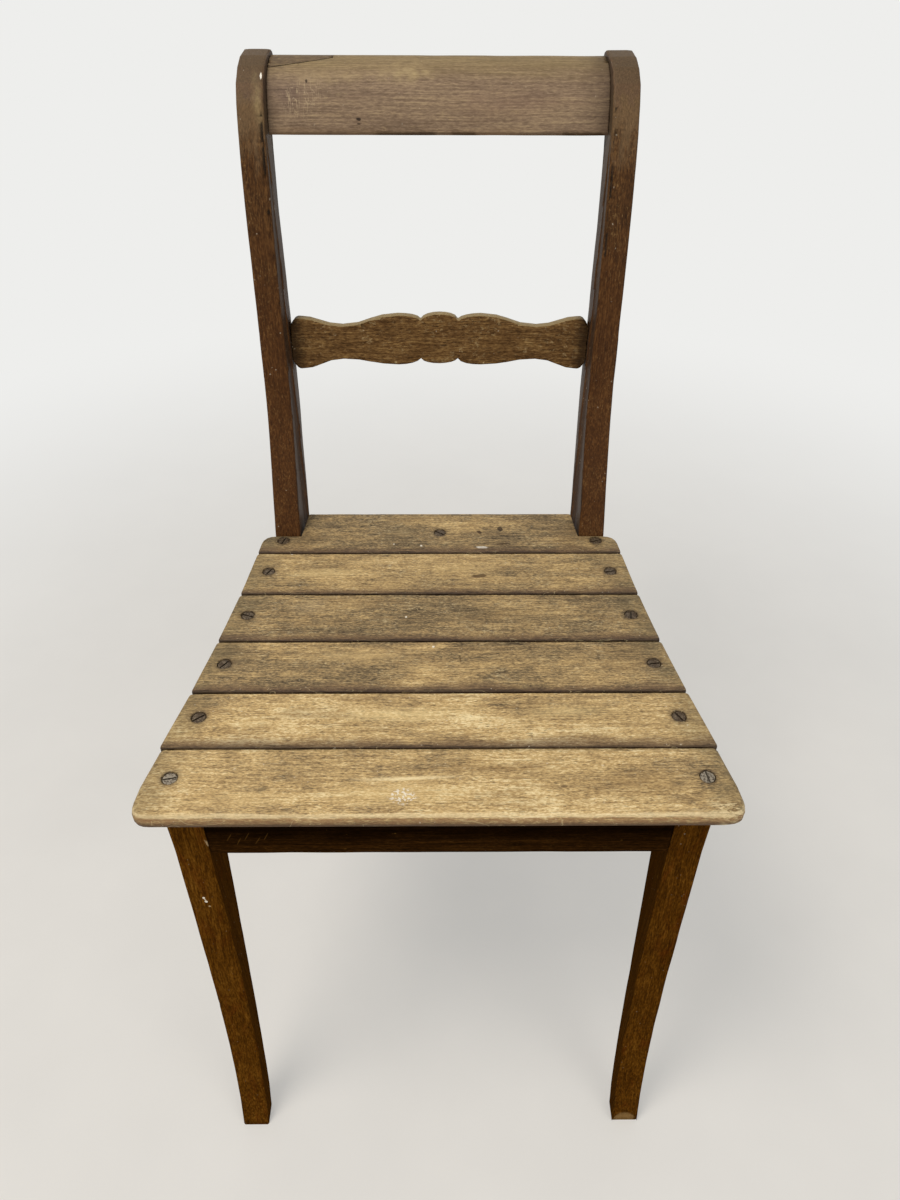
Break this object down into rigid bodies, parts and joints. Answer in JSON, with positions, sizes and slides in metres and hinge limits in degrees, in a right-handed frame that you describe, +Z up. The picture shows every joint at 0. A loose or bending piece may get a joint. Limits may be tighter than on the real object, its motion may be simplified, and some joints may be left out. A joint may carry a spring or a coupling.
{
  "type": "side chair",
  "caption": "Worn wooden side chair with swept legs, a scrolled back rail, a rolled crest rail and a flat seat of separate slats fixed by slotted screws",
  "frame": {"origin": "on the floor, at the middle of the chair's bounding box in plan", "axes": "+X to the right as seen by someone facing the front of the chair, +Y from the front of the seat to the back, +Z up"},
  "size_m": [0.4558, 0.5252, 0.882],
  "materials": {
    "slat_wood": "bare and worn, matt",
    "post_wood": "old brown varnish, worn on the edges",
    "crest_wood": "faded brown varnish, matt",
    "splat_wood": "old brown varnish, satin",
    "leg_wood": "dark brown varnish, mottled, satin",
    "apron_wood": "dark brown varnish, dusty",
    "screw_steel": "dull, with dirt in the slot"
  },
  "bodies": {
    "root": {"seat_slat_1": "slat_wood", "seat_slat_2": "slat_wood", "seat_slat_3": "slat_wood", "seat_slat_4": "slat_wood", "seat_slat_5": "slat_wood", "seat_slat_6": "slat_wood", "seat_screw_1": "screw_steel", "seat_screw_2": "screw_steel", "seat_screw_3": "screw_steel", "seat_screw_4": "screw_steel", "seat_screw_5": "screw_steel", "seat_screw_6": "screw_steel", "seat_screw_7": "screw_steel", "seat_screw_8": "screw_steel", "seat_screw_9": "screw_steel", "seat_screw_10": "screw_steel", "seat_screw_11": "screw_steel", "seat_screw_12": "screw_steel", "seat_screw_13": "screw_steel", "rear_post_left": "post_wood", "rear_post_right": "post_wood", "front_leg_left": "leg_wood", "front_leg_right": "leg_wood", "side_apron_left": "apron_wood", "side_apron_right": "apron_wood", "front_apron": "apron_wood", "rear_apron": "apron_wood", "crest_rail": "crest_wood", "crest_patch": "crest_wood", "splat_rail": "splat_wood"}
  },
  "joints": []
}
